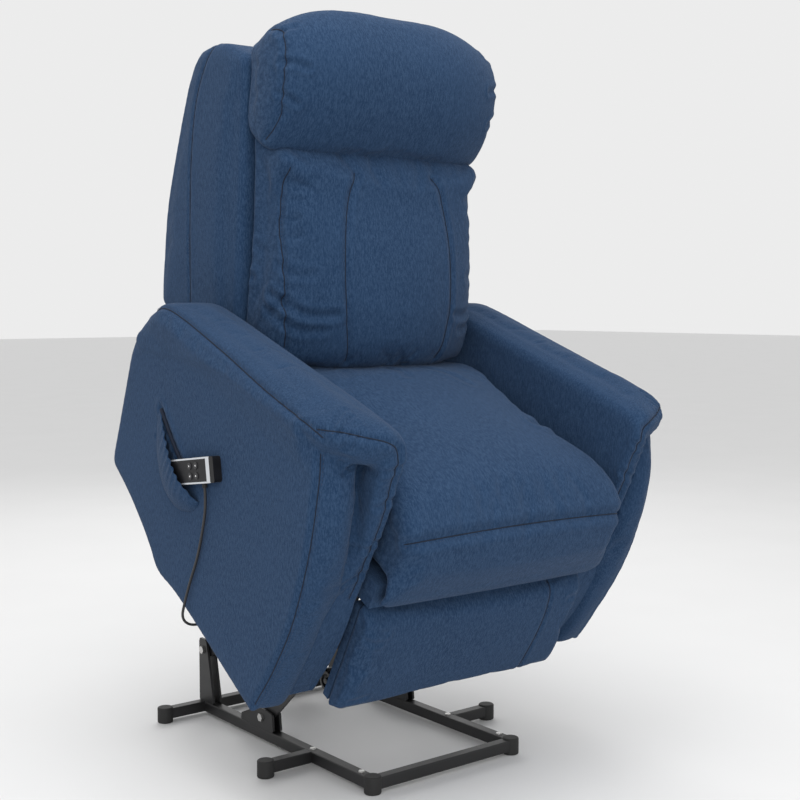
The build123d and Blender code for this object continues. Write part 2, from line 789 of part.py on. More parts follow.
with BuildPart() as guide_link:
    add(bar(chair, outer_x, guide_pivot, guide_knee, link_bar - 2, snug, 2))
    add(rod(chair, outer_x, outer_end, guide_knee, guide_slack + eye_wall))
    add(rod(chair, outer_x, outer_end, guide_knee, guide_slack), mode=Mode.SUBTRACT)
save(both_sides(guide_link.part), "footrest_guide_links")

with BuildPart() as board_link:
    add(bar(chair, outer_x, board_link_knee, board_link_head, link_bar - 2, snug, 2))
    add(rod(chair, outer_x, outer_end, board_link_head, board_slack + eye_wall))
    add(rod(chair, outer_x, outer_end, board_link_head, board_slack), mode=Mode.SUBTRACT)
save(both_sides(board_link.part), "footrest_board_links")

board_back = footrest_head[0] - 20
board_thickness = 15
board_front = board_back - board_thickness
board_foot = 64
board_head = 270
board_half = seat_half - 6
board_face = [
    (board_front, board_foot), (board_front, board_head), (board_back, board_head), (board_back, board_foot),
]
save(slab(chair, -board_half, board_half, board_face), "footrest_board")

bracket_face = [
    (board_back, 52), (board_back, 170), (footrest_head[0] + 4, 168), (footrest_head[0] + 15, 152),
    (footrest_head[0] + 15, 66), (footrest_head[0] + 4, 54),
]
with BuildPart() as footrest_bracket:
    add(slab(chair, thigh_x, thigh_x + link_thickness, bracket_face, 1))
    add(rod(chair, thigh_x, shin_x + link_thickness + 1, footrest_head, stud))
    add(rod(chair, thigh_x, outer_end + 1, board_link_head, stud))
save(both_sides(footrest_bracket.part), "footrest_brackets")

pad_front = board_front - 36
pad_face = [
    (board_front, board_head + 5), (pad_front + 16, board_head + 2), (pad_front + 2, board_head - 20),
    (pad_front, 160), (pad_front + 2, 84), (pad_front + 14, board_foot - 3), (board_front, board_foot - 5),
]
save(pillow(chair, seat_half, pad_face, 1.5, 1.4), "footrest_pad")

# ---------------------------------------------------------------- bolts the chair's links turn on
chair_bolts = [bolt(chair, steel_rail_inner, link_x, pivot) for pivot in (front_link_head, rear_arm_head)]
chair_bolts.append(bolt(chair, steel_rail_outer, post_inner, back_hinge))
for pivot, tip in ((footrest_pivot, thigh_x + link_thickness), (guide_pivot, outer_end)):
    chair_bolts.append(rod(chair, steel_rail_outer, tip + 1, pivot, bolt_radius))
    chair_bolts.append(rod(chair, tip + 1, tip + 3, pivot, bolt_radius + 3))
save(both_sides(*chair_bolts), "chair_pivot_bolts")

# ---------------------------------------------------------------- actuators
eye_radius = 13
eye_half = lug_gap - 1
gear_half = 26
gear_start = 30
gear_end = 62
motor_end = 130
motor_radius = 24
motor_shift = 50
tube_radius = 17
tube_bore = 12.5
rod_radius = 9
rod_inside = 60


def along(plane, x, start, end):
    """A plane at an actuator's anchor whose z runs to the actuator's far end."""
    reach = hypot(end[0] - start[0], end[1] - start[1])
    way = (plane.x_dir * (end[0] - start[0]) + plane.y_dir * (end[1] - start[1])) * (1 / reach)
    return Plane(origin=plane.from_local_coords(Vector(start[0], start[1], x)), x_dir=(1, 0, 0), z_dir=way)


def motor_unit(plane, x, start, end, tube_length):
    """The actuator's eye, gearbox, motor and outer tube."""
    axis = along(plane, x, start, end)
    with BuildPart() as unit:
        add(rod(plane, x - eye_half, x + eye_half, start, eye_radius))
        with BuildSketch(axis):
            Rectangle(16, 16)
        extrude(amount=gear_start)
        with BuildSketch(axis.offset(gear_start)) as gear:
            with Locations((motor_shift / 2, 0)):
                Rectangle(motor_shift + 2 * gear_half, 2 * gear_half)
            fillet(gear.vertices(), 8)
        extrude(amount=gear_end - gear_start)
        with BuildSketch(axis.offset(gear_end)):
            with Locations((motor_shift, 0)):
                Circle(motor_radius)
        extrude(amount=motor_end - gear_end)
        with BuildSketch(axis.offset(gear_end)):
            Circle(tube_radius)
        extrude(amount=tube_length - gear_end)
        with BuildSketch(axis.offset(gear_end)):
            Circle(tube_bore)
        extrude(amount=tube_length - gear_end, mode=Mode.SUBTRACT)
        add(rod(plane, x - eye_half, x + eye_half, start, snug), mode=Mode.SUBTRACT)
    return unit.part


def motor_rod(plane, x, start, end, tube_length, eye_bore):
    """The rod that slides out of the outer tube, with the open eye at its end."""
    axis = along(plane, x, start, end)
    reach = hypot(end[0] - start[0], end[1] - start[1])
    with BuildPart() as sliding:
        with BuildSketch(axis.offset(tube_length - rod_inside)):
            Circle(rod_radius)
        extrude(amount=reach - eye_bore - tube_length + rod_inside)
        add(rod(plane, x - eye_half, x + eye_half, end, eye_bore + 7))
        add(rod(plane, x - eye_half, x + eye_half, end, eye_bore), mode=Mode.SUBTRACT)
    return sliding.part


lift_tube = 350
recline_tube = 300
lift_end = on_ground(lift_head)
save(motor_unit(ground, 0, lift_anchor, lift_end, lift_tube), "lift_motor")
save(motor_rod(ground, 0, lift_anchor, lift_end, lift_tube, stud + open_slack), "lift_motor_rod")
save(motor_unit(chair, recline_x, recline_anchor, lever_tube, recline_tube), "recline_motor")
recline_rod = motor_rod(chair, recline_x, recline_anchor, lever_tube, recline_tube, lever_radius + 7)
save(recline_rod, "recline_motor_rod")
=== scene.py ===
import json
from math import cos, pi, radians, sin

import bmesh
import bpy
import numpy as np
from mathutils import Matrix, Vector
from mathutils.bvhtree import BVHTree


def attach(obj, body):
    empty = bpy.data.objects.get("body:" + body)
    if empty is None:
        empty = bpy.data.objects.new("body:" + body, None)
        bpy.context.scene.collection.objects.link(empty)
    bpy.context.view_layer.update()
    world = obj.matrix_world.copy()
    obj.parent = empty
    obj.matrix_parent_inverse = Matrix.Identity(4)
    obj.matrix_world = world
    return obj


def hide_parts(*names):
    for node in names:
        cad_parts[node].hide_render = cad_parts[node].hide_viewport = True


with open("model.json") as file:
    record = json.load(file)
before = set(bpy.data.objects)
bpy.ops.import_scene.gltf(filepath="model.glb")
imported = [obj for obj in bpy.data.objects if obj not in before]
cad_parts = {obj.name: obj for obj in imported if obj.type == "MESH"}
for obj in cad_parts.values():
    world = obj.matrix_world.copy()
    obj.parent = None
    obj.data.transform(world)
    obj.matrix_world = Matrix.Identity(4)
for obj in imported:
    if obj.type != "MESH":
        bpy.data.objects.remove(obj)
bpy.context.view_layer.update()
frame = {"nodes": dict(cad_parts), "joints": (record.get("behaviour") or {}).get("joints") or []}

# ------------------------------------------------------------------ the room, the lights and the camera
# A pale studio floor that runs to the horizon, soft lights overhead, in front and behind, and a
# camera a little above the seat at the sitter's right.
scene = bpy.context.scene
scene.view_settings.view_transform = "Standard"
chair_lean = radians(28)
hinge_y, hinge_z = 150.0, 330.0
hinge = next(joint for joint in frame["joints"] if joint["name"] == "back_recline")["pos_m"]


def place(x, y, z):
    """Chair-plane millimetres as model metres: turned by the lean about the back's hinge."""
    dy = (np.asarray(y, float) - hinge_y) / 1000
    dz = (np.asarray(z, float) - hinge_z) / 1000
    x = np.asarray(x, float) / 1000 + 0 * dy
    along = hinge[1] + dy * cos(chair_lean) - dz * sin(chair_lean)
    up = hinge[2] + dy * sin(chair_lean) + dz * cos(chair_lean)
    return np.stack([x, along, up], -1)


def unplace(points):
    """Model metres as chair-plane millimetres, the reverse of place."""
    dy = (points[..., 1] - hinge[1]) * 1000
    dz = (points[..., 2] - hinge[2]) * 1000
    y = hinge_y + dy * cos(chair_lean) + dz * sin(chair_lean)
    z = hinge_z - dy * sin(chair_lean) + dz * cos(chair_lean)
    return np.stack([points[..., 0] * 1000, y, z], -1)


lens = bpy.data.cameras.new("studio_camera")
lens.lens = 58.63
lens.sensor_width = 36
camera = bpy.data.objects.new("studio_camera", lens)
camera.location = (-1.5379, -1.9891, 0.87045)
camera.rotation_euler = (radians(90 - 4.19), 0, radians(-38.35))
scene.collection.objects.link(camera)
scene.camera = camera

world = bpy.data.worlds.new("white_room")
scene.world = world
world.use_nodes = True
world.node_tree.nodes["Background"].inputs["Color"].default_value = (1, 1, 1, 1)
world.node_tree.nodes["Background"].inputs["Strength"].default_value = 0.84


def soft_light(name, place_at, aim, size, power):
    """A square soft light that looks at a point."""
    light = bpy.data.lights.new(name, "AREA")
    light.size = size
    light.energy = power
    lamp = bpy.data.objects.new(name, light)
    lamp.location = place_at
    lamp.rotation_euler = (Vector(aim) - Vector(place_at)).to_track_quat("-Z", "Y").to_euler()
    scene.collection.objects.link(lamp)


soft_light("overhead_light", (-0.5, -0.7, 3.4), (0, 0, 0.7), 2.2, 50)
soft_light("front_light", (-2.2, -3.4, 1.5), (0, 0, 0.8), 2.2, 46)
soft_light("back_light", (1.4, 2.6, 2.6), (0, 0, 0.8), 2.0, 24)


class Value:
    """A number socket: + and * between it and numbers or other sockets add Math nodes."""

    def __init__(self, finish, socket):
        self.finish = finish
        self.socket = socket

    def math(self, operation, first, second):
        """One Math node."""
        return self.finish.node("ShaderNodeMath", {"operation": operation}, first, second)

    def __add__(self, other):
        return self.math("ADD", self, other)

    def __radd__(self, other):
        return self.math("ADD", other, self)

    def __mul__(self, other):
        return self.math("MULTIPLY", self, other)

    def __rmul__(self, other):
        return self.math("MULTIPLY", other, self)


class Finish:
    """A material being put together."""

    def __init__(self, name):
        self.material = bpy.data.materials.new(name)
        self.material.use_nodes = True
        self.tree = self.material.node_tree
        self.surface = self.tree.nodes["Principled BSDF"]

    def feed(self, socket, value):
        """A link if the value is a socket, or else the socket's own value."""
        if isinstance(value, Value):
            self.tree.links.new(value.socket, socket)
        else:
            socket.default_value = value

    def node(self, kind, settings, *values, output=0, **named):
        """Any node: its settings first, then its sockets by order or by name; gives one output."""
        made = self.tree.nodes.new(kind)
        for key, value in settings.items():
            setattr(made, key, value)
        for socket, value in zip(made.inputs, values):
            self.feed(socket, value)
        for key, value in named.items():
            self.feed(made.inputs[key.replace("_", " ")], value)
        return Value(self, made.outputs[output])

    def set(self, **named):
        """Sets the shader's own sockets."""
        for key, value in named.items():
            self.feed(self.surface.inputs[key.replace("_", " ")], value)

    def mix(self, amount, first, second):
        """Two colours mixed."""
        made = self.tree.nodes.new("ShaderNodeMix")
        made.data_type = "RGBA"
        self.feed(made.inputs["Factor"], amount)
        self.feed(made.inputs[6], first)
        self.feed(made.inputs[7], second)
        return Value(self, made.outputs[2])

    def bump(self, height, depth):
        """Fine relief of a depth in metres, on the shader's normal."""
        made = self.node("ShaderNodeBump", {}, Strength=1.0, Distance=depth, Height=height)
        self.set(Normal=made)


def coordinates(finish, scale, turned=0.0):
    """Object coordinates, scaled per metre and turned about X."""
    spot = finish.node("ShaderNodeTexCoord", {}, output=3)
    return finish.node("ShaderNodeMapping", {}, Vector=spot, Rotation=(turned, 0, 0), Scale=scale)


def noise(finish, scale, detail=2.0, turned=0.0, roughness=0.5):
    """Noise from 0 to 1 whose grain is scale per metre along each axis."""
    where = coordinates(finish, scale, turned)
    return finish.node(
        "ShaderNodeTexNoise", {}, Vector=where, Scale=1.0, Detail=detail, Roughness=roughness
    )


floor_finish = Finish("studio_floor_white")
floor_shade = noise(floor_finish, (3, 3, 3))
floor_finish.set(
    Base_Color=floor_finish.mix(floor_shade, (0.72, 0.72, 0.72, 1), (0.75, 0.75, 0.75, 1)), Roughness=0.7
)
bpy.ops.mesh.primitive_plane_add(size=60)
floor = bpy.context.object
floor.name = "studio_floor"
floor.data.materials.append(floor_finish.material)

# ------------------------------------------------------------------ the handset's cord
# A thin black rubber-covered cord. It leaves the handset's lower side, hangs down the side panel,
# turns under the arm's bottom edge and climbs to the control box under the seat.
cord_finish = Finish("cord_black_rubber")
cord_finish.set(
    Base_Color=cord_finish.mix(
        noise(cord_finish, (900, 900, 900)), (0.008, 0.008, 0.009, 1), (0.02, 0.02, 0.022, 1)
    ),
    Roughness=0.45,
)
cord_route = [
    (-404, -59.3, 322.1), (-404, -81.6, 291.3), (-403, -91, 238), (-402, -96, 185), (-403, -95, 135),
    (-405, -99, 90), (-403, -100, 52), (-375, -96, 26), (-330, -86, 20), (-285, -72, 32), (-248, -50, 68),
    (-220, -25, 112), (-195, -2, 162), (-150, 0, 200), (-150, 0, 240),
]
cord_line = bpy.data.curves.new("handset_lead", "CURVE")
cord_line.dimensions = "3D"
cord_line.bevel_depth = 0.0025
cord_line.bevel_resolution = 4
cord_line.use_fill_caps = True
cord_spline = cord_line.splines.new("NURBS")
cord_spline.points.add(len(cord_route) - 1)
for point, (x, y, z) in zip(cord_spline.points, cord_route):
    point.co = (*place(x, y, z), 1)
cord_spline.order_u = 3
cord_spline.use_endpoint_u = True
cord_spline.resolution_u = 12
handset_lead = bpy.data.objects.new("handset_lead", cord_line)
scene.collection.objects.link(handset_lead)
handset_lead.data.materials.append(cord_finish.material)
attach(handset_lead, "chair")
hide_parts("handset_cord")
tuple(place(*cord_route[0]))

# ------------------------------------------------------------------ the floor frame and the lift
# Square steel tube and pressed brackets, welded, then powder-coated satin black; the glides are
# moulded rubber, and the bolts are zinc-plated.
steel_finish = Finish("powder_coated_steel")
steel_grain = noise(steel_finish, (700, 700, 700), 3)
steel_scuff = noise(steel_finish, (18, 18, 60), 4)
steel_finish.set(
    Base_Color=steel_finish.mix(steel_scuff, (0.004, 0.004, 0.0045, 1), (0.011, 0.011, 0.012, 1)),
    Roughness=0.38 + 0.18 * steel_scuff,
)
steel_finish.bump(steel_grain, 0.00012)

zinc_finish = Finish("zinc_plated_steel")
zinc_grain = noise(zinc_finish, (500, 500, 60), 4)
zinc_finish.set(
    Base_Color=zinc_finish.mix(zinc_grain, (0.42, 0.42, 0.43, 1), (0.62, 0.61, 0.58, 1)),
    Metallic=1.0,
    Roughness=0.28 + 0.2 * zinc_grain,
)

rubber_finish = Finish("moulded_black_rubber")
rubber_grain = noise(rubber_finish, (600, 600, 600), 4)
rubber_finish.set(
    Base_Color=rubber_finish.mix(rubber_grain, (0.007, 0.007, 0.007, 1), (0.016, 0.016, 0.016, 1)),
    Roughness=0.62 + 0.15 * rubber_grain,
)
rubber_finish.bump(rubber_grain, 0.0002)


def finish_node(finish, *names):
    """Gives CAD nodes that already have their true shape a finish."""
    for name in names:
        node = frame["nodes"][name]
        node.data.materials.clear()
        node.data.materials.append(finish.material)


finish_node(
    steel_finish, "base_side_rails", "base_crossbars", "front_outriggers", "front_link_brackets",
    "rear_arm_uprights", "lift_motor_bracket", "rear_lift_arms", "front_lift_links", "lift_pivot_plates",
    "seat_steel_rails", "seat_cross_tubes", "actuator_lugs", "seat_side_plates", "arm_mounting_bars",
    "back_hinge_brackets", "back_lever_tube", "footrest_drive_links", "footrest_shin_links",
    "footrest_guide_links", "footrest_board_links", "footrest_brackets", "chair_pivot_bolts",
)
finish_node(zinc_finish, "base_bolts", "seat_springs", "lift_motor_rod", "recline_motor_rod")
finish_node(rubber_finish, "foot_glides", "cord_glands")

# ------------------------------------------------------------------ the actuators and the control box
# Two linear actuators: a die-cast gearbox, a motor can and an outer tube, sprayed dark grey; the
# control box and the mains inlet are moulded in black plastic with a spark-eroded texture.
motor_finish = Finish("sprayed_dark_grey")
motor_grain = noise(motor_finish, (400, 400, 400), 5)
motor_finish.set(
    Base_Color=motor_finish.mix(motor_grain, (0.018, 0.018, 0.02, 1), (0.032, 0.032, 0.035, 1)),
    Roughness=0.42 + 0.2 * motor_grain,
)
motor_finish.bump(motor_grain, 0.0002)
moulded_finish = Finish("textured_black_plastic")
moulded_grain = noise(moulded_finish, (1200, 1200, 1200), 3)
moulded_finish.set(
    Base_Color=moulded_finish.mix(moulded_grain, (0.010, 0.010, 0.011, 1), (0.02, 0.02, 0.021, 1)),
    Roughness=0.5 + 0.2 * moulded_grain,
)
moulded_finish.bump(moulded_grain, 0.0001)
finish_node(motor_finish, "lift_motor", "recline_motor")
finish_node(moulded_finish, "control_box", "mains_inlet")

# ------------------------------------------------------------------ the hidden timber
# Sawn softwood: the back's ladder frame.
timber_finish = Finish("sawn_timber")
timber_rings = noise(timber_finish, (8, 60, 60), 6)
timber_finish.set(
    Base_Color=timber_finish.mix(timber_rings, (0.36, 0.22, 0.11, 1), (0.62, 0.45, 0.27, 1)),
    Roughness=0.7 + 0.15 * timber_rings,
)
timber_finish.bump(timber_rings, 0.0006)
finish_node(
    timber_finish, "back_frame"
)

# ------------------------------------------------------------------ the upholstery cloth
# A dense navy weave with a short nap: paler and darker threads run mostly one way, so it looks
# faintly streaked, and the nap lies unevenly in soft patches. The sewing thread is the same navy.


def cloth(name, fine, slow):
    """The weave, with threads of fine pitch along the first scale and long runs along the second."""
    finish = Finish(name)
    threads = noise(finish, fine, 3, -chair_lean, 0.6)
    flecks = noise(finish, slow, 4, -chair_lean, 0.6)
    patches = noise(finish, (9, 9, 9), 4)
    weave = noise(finish, (1100, 1100, 1100), 1)
    blend = threads * 0.4 + flecks * 0.6
    pale = finish.node("ShaderNodeMapRange", {}, Value=blend, From_Min=0.42, From_Max=0.62)
    body = finish.mix(pale, (0.0115, 0.0325, 0.0770, 1), (0.033, 0.067, 0.132, 1))
    nap = finish.node(
        "ShaderNodeMapRange", {}, Value=patches, From_Min=0.35, From_Max=0.7, To_Min=0.0, To_Max=0.22
    )
    finish.set(
        Base_Color=finish.mix(nap, body, (0.026, 0.059, 0.125, 1)),
        Roughness=0.82 + 0.12 * threads,
        Sheen_Weight=0.07,
        Sheen_Roughness=0.5,
        Sheen_Tint=(0.7, 0.8, 1.0, 1),
        Specular_IOR_Level=0.1,
    )
    finish.bump(weave * 0.4 + threads * 0.6 + flecks * 0.5, 0.0009)
    return finish


run_cloth = cloth("navy_weave_run", (1000, 300, 300), (420, 110, 110))
wrap_cloth = cloth("navy_weave_wrap", (1000, 1000, 300), (420, 420, 110))
thread_finish = Finish("navy_sewing_thread")
thread_twist = noise(thread_finish, (2500, 2500, 2500), 1)
thread_finish.set(
    Base_Color=thread_finish.mix(thread_twist, (0.006, 0.016, 0.045, 1), (0.02, 0.04, 0.09, 1)), Roughness=0.6
)


# Painted shade: a very dark navy for the cords laid along the seams and the pocket slit, where shade falls in
# the grooves.
seam_shadow_finish = Finish("navy_seam_shadow")
seam_shadow_weave = noise(seam_shadow_finish, (1500, 1500, 1500), 1)
seam_shadow_finish.set(
    Base_Color=seam_shadow_finish.mix(seam_shadow_weave, (0.002, 0.006, 0.018, 1), (0.005, 0.012, 0.03, 1)), Roughness=0.9
)


def smooth_loop(points, count):
    """A closed line through given (y, z) points: Catmull-Rom pieces, then evenly spaced by length."""
    p = np.array(points, float)
    before, after, beyond = np.roll(p, 1, 0), np.roll(p, -1, 0), np.roll(p, -2, 0)
    t = np.linspace(0, 1, 24, endpoint=False)[None, :, None]
    a, b, c, d = (q[:, None, :] for q in (before, p, after, beyond))
    curve = 0.5 * (2 * b + (c - a) * t + (2 * a - 5 * b + 4 * c - d) * t**2 + (3 * b - a - 3 * c + d) * t**3)
    curve = curve.reshape(-1, 2)
    closed = np.vstack([curve, curve[:1]])
    run = np.concatenate([[0], np.cumsum(np.linalg.norm(np.diff(closed, axis=0), axis=1))])
    at = np.linspace(0, run[-1], count, endpoint=False)
    return np.stack([np.interp(at, run, closed[:, k]) for k in (0, 1)], -1)


def outward(loop):
    """Unit normals of a closed (y, z) line, away from its inside."""
    tangent = np.roll(loop, -1, 0) - np.roll(loop, 1, 0)
    tangent /= np.linalg.norm(tangent, axis=1, keepdims=True)
    area = np.sum(loop[:, 0] * np.roll(loop[:, 1], -1) - loop[:, 1] * np.roll(loop[:, 0], -1))
    return np.stack([tangent[:, 1], -tangent[:, 0]], -1) * np.sign(area)


def stuffed(points, x_from, x_to, edge, crown=0.0, middle=None, power=2.4, count=150):
    """Grid of a closed form, (rings, around, xyz) in chair millimetres.

    The given outline changes from points at the ends to middle half way, by one minus the distance
    from half way to a power. Each ring is its outline moved in along its normals by an inset: across
    the ends the inset follows a quarter circle of radius edge, and inside that the ring shrinks to a
    point while x bulges by crown times one minus the shrink squared.
    """
    ends = np.array(points, float)
    centre = ends if middle is None else np.array(middle, float)
    halfway, half = (x_from + x_to) / 2, (x_to - x_from) / 2
    shrink = np.linspace(0, 1, 10)[:-1] ** 0.8
    turn = np.linspace(0, pi / 2, 7)
    steps = max(3, int((2 * half - 2 * edge) / 14))
    straight = np.linspace(half - edge, 0, steps)[1:]
    x = np.concatenate([half + crown * (1 - shrink**2), half - edge + edge * np.cos(turn), straight])
    inset = np.concatenate([np.full(len(shrink), edge), edge * (1 - np.sin(turn)), np.zeros(len(straight))])
    size = np.concatenate([shrink, np.ones(len(turn) + len(straight))])
    rings = []
    for at, inward, scale in zip(x, inset, size):
        toward = max(0.0, 1 - (at / half) ** power)
        loop = smooth_loop(ends + (centre - ends) * toward, count)
        loop = loop - outward(loop) * inward
        heart = loop.mean(0)
        rings.append(heart + (loop - heart) * scale)
    rings = np.array(rings + rings[-2::-1])
    across = halfway + np.concatenate([x, -x[-2::-1]])
    return np.concatenate([np.broadcast_to(across[:, None, None], (*rings.shape[:2], 1)), rings], -1)


def quads(rings, around, closed=True):
    """Faces of a grid of rings; closed joins each ring's end to its start."""
    row = np.arange(rings - 1)[:, None] * around
    col = np.arange(around if closed else around - 1)[None]
    nxt = (col + 1) % around
    return np.stack([row + col, row + nxt, row + around + nxt, row + around + col], -1).reshape(-1, 4)


def solid(name, grids, finish, mirrored=False):
    """One mesh object from grids in chair millimetres, joined, with doubled poles merged."""
    verts, faces, start = [], [], 0
    for grid in grids:
        faces.append(quads(*grid.shape[:2]) + start)
        verts.append(grid.reshape(-1, 3))
        start += len(verts[-1])
    points = np.concatenate(verts)
    if mirrored:
        points = points * (-1, 1, 1)
    mesh = bpy.data.meshes.new(name)
    mesh.from_pydata(place(points[:, 0], points[:, 1], points[:, 2]), [], np.concatenate(faces).tolist())
    tidy = bmesh.new()
    tidy.from_mesh(mesh)
    bmesh.ops.remove_doubles(tidy, verts=tidy.verts, dist=1e-5)
    bmesh.ops.dissolve_degenerate(tidy, edges=tidy.edges, dist=1e-6)
    bmesh.ops.recalc_face_normals(tidy, faces=tidy.faces)
    tidy.to_mesh(mesh)
    tidy.free()
    mesh.materials.append(finish.material)
    piece = bpy.data.objects.new(name, mesh)
    scene.collection.objects.link(piece)
    return piece


def settle(piece):
    """Makes the piece's modifiers part of its mesh."""
    finished = bpy.data.meshes.new_from_object(piece.evaluated_get(bpy.context.evaluated_depsgraph_get()))
    piece.modifiers.clear()
    piece.data = finished


def points_of(piece):
    """The piece's points as an array in metres."""
    points = np.empty(len(piece.data.vertices) * 3)
    piece.data.vertices.foreach_get("co", points)
    return points.reshape(-1, 3)


def move_points(piece, points):
    """Writes the piece's points back."""
    piece.data.vertices.foreach_set("co", points.ravel())
    piece.data.update()


def fill(piece, voxel, most, press=4.0, hold=None):
    """Evens the cloth out, blows it up as a filled bag for twenty frames, and caps how far it goes.

    A point moves by its simulated shift, shortened to at most most millimetres and then scaled by
    hold, a function of the chair-plane points that is 0 where the cushion rests on something.
    """
    even = piece.modifiers.new("even_cloth", "REMESH")
    even.mode = "VOXEL"
    even.voxel_size = voxel / 1000
    settle(piece)
    start = points_of(piece)
    bag = piece.modifiers.new("filling", "CLOTH")
    bag.settings.use_pressure = True
    bag.settings.uniform_pressure_force = press
    bag.settings.effector_weights.gravity = 0
    bag.settings.quality = 3
    bag.settings.tension_stiffness = 12
    bag.settings.compression_stiffness = 12
    bag.settings.bending_stiffness = 0.6
    bag.collision_settings.use_collision = False
    bag.point_cache.frame_start = 1
    bag.point_cache.frame_end = 20
    for step in range(1, 21):
        scene.frame_set(step)
    blown = piece.evaluated_get(bpy.context.evaluated_depsgraph_get()).to_mesh()
    after = np.empty(start.size)
    blown.vertices.foreach_get("co", after)
    piece.modifiers.clear()
    scene.frame_set(1)
    shift = after.reshape(-1, 3) - start
    far = np.linalg.norm(shift, axis=1, keepdims=True) + 1e-9
    shift *= np.minimum(1, most / 1000 / far)
    if hold is not None:
        shift *= hold(unplace(start))[:, None]
    move_points(piece, start + shift)
    finer = piece.modifiers.new("finer", "SUBSURF")
    finer.levels = finer.render_levels = 1
    settle(piece)
    piece.data.shade_smooth()


def lay_on(piece, paths):
    """Paths of (chair-plane points, aim) dropped along their aims on to the piece: points and normals."""
    corners = [tuple(face.vertices) for face in piece.data.polygons]
    tree = BVHTree.FromPolygons(points_of(piece).tolist(), corners)
    laid = []
    for path, aim in paths:
        away = place(0, hinge_y - aim[1], hinge_z - aim[2]) - place(0, hinge_y, hinge_z)
        away[0] = -aim[0] / 1000
        away = Vector(away / np.linalg.norm(away))
        found = []
        for point in place(path[:, 0], path[:, 1], path[:, 2]):
            hit, normal, _, _ = tree.ray_cast(Vector(point) + away * 0.12, -away, 0.4)
            if hit is not None:
                found.append((*hit, *normal))
        found = np.array(found)
        laid.append((found[:, :3], found[:, 3:]))
    return laid


def curve_through(points, step=2.5):
    """An open line through given (x, y, z) points, Catmull-Rom, a point every step millimetres."""
    p = np.array(points, float)
    p = np.vstack([2 * p[0] - p[1], p, 2 * p[-1] - p[-2]])
    t = np.linspace(0, 1, 24, endpoint=False)[None, :, None]
    a, b, c, d = (q[:, None, :] for q in (p[:-3], p[1:-2], p[2:-1], p[3:]))
    curve = 0.5 * (2 * b + (c - a) * t + (2 * a - 5 * b + 4 * c - d) * t**2 + (3 * b - a - 3 * c + d) * t**3)
    curve = np.vstack([curve.reshape(-1, 3), p[-2]])
    run = np.concatenate([[0], np.cumsum(np.linalg.norm(np.diff(curve, axis=0), axis=1))])
    at = np.linspace(0, run[-1], max(2, int(run[-1] / step)))
    return np.stack([np.interp(at, run, curve[:, k]) for k in range(3)], -1)


def press_in(piece, line, depth, width, lip=0.25):
    """Sinks the surface along a line: depth times a bell of the distance, with a low lip beside it."""
    points = points_of(piece)
    normals = np.empty(points.size)
    piece.data.vertices.foreach_get("normal", normals)
    normals = normals.reshape(-1, 3)
    reach = width * 4 / 1000
    near = np.all((points > line.min(0) - reach) & (points < line.max(0) + reach), axis=1)
    spots = np.flatnonzero(near)
    for part in np.array_split(spots, max(1, len(spots) // 4000)):
        gap = np.linalg.norm(points[part][:, None] - line[None], axis=2).min(1) * 1000
        bell = np.exp(-((gap / width) ** 2))
        shoulder = np.exp(-(((gap - 2.4 * width) / width) ** 2))
        rise = depth * (lip * shoulder - bell)
        points[part] += normals[part] * rise[:, None] / 1000
    move_points(piece, points)


def stitches(name, rows, body, long=4.2, gap=2.3, thick=0.55):
    """Sewn thread: each stitch is a six-sided grain, thin at its ends, sunk there by its own bend."""
    verts, faces, start = [], [], 0
    along = np.array([-1, -0.6, 0, 0.6, 1])
    fat = np.array([0.25, 0.85, 1, 0.85, 0.25])
    around = np.linspace(0, 2 * pi, 6, endpoint=False)
    for line, normals, offset in rows:
        tangent = np.gradient(line, axis=0)
        tangent /= np.linalg.norm(tangent, axis=1, keepdims=True) + 1e-12
        side = np.cross(normals, tangent)
        line = line + side * offset / 1000
        run = np.concatenate([[0], np.cumsum(np.linalg.norm(np.diff(line, axis=0), axis=1))]) * 1000
        at = np.arange(long, run[-1] - long, long + gap)
        pick = lambda values: np.stack([np.interp(at, run, values[:, k]) for k in range(3)], -1)
        centre, t, n, s = pick(line), pick(tangent), pick(normals), pick(side)
        lift = thick * (0.9 - 1.3 * along**2)
        core = centre[:, None] + t[:, None] * (along * long / 2)[None, :, None] / 1000
        core = core + n[:, None] * lift[None, :, None] / 1000
        up, across = (part(around)[None, None, :, None] for part in (np.sin, np.cos))
        ring = n[:, None, None] * up + s[:, None, None] * across
        grain = core[:, :, None] + ring * (thick * fat)[None, :, None, None] / 1000
        one = quads(5, 6)
        many = (np.arange(len(at)) * 30)[:, None, None] + one[None] + start
        verts.append(grain.reshape(-1, 3))
        faces.append(many.reshape(-1, 4))
        start += len(verts[-1])
    mesh = bpy.data.meshes.new(name)
    mesh.from_pydata(np.concatenate(verts), [], np.concatenate(faces).tolist())
    mesh.materials.append(thread_finish.material)
    mesh.shade_smooth()
    thread = bpy.data.objects.new(name, mesh)
    scene.collection.objects.link(thread)
    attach(thread, body)


def seam_shadow_lines(name, lines, body, thick=1.0):
    """Painted shade in the groove where two panels meet: a six-sided very dark cord sunk to its middle along
    each seam.
    """
    verts, faces, start = [], [], 0
    around = np.linspace(0, 2 * pi, 6, endpoint=False)[None, :, None]
    for line, normals in lines:
        tangent = np.gradient(line, axis=0)
        tangent /= np.linalg.norm(tangent, axis=1, keepdims=True) + 1e-12
        side = np.cross(normals, tangent)
        fat = np.ones(len(line))
        fat[[0, -1]] = 0.1
        ring = normals[:, None] * np.sin(around) + side[:, None] * np.cos(around) * 1.1
        verts.append((line[:, None] + ring * (fat * thick)[:, None, None] / 1000).reshape(-1, 3))
        faces.append(quads(len(line), 6) + start)
        start += len(verts[-1])
    mesh = bpy.data.meshes.new(name)
    mesh.from_pydata(np.concatenate(verts), [], np.concatenate(faces).tolist())
    mesh.materials.append(seam_shadow_finish.material)
    mesh.shade_smooth()
    joint = bpy.data.objects.new(name, mesh)
    scene.collection.objects.link(joint)
    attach(joint, body)


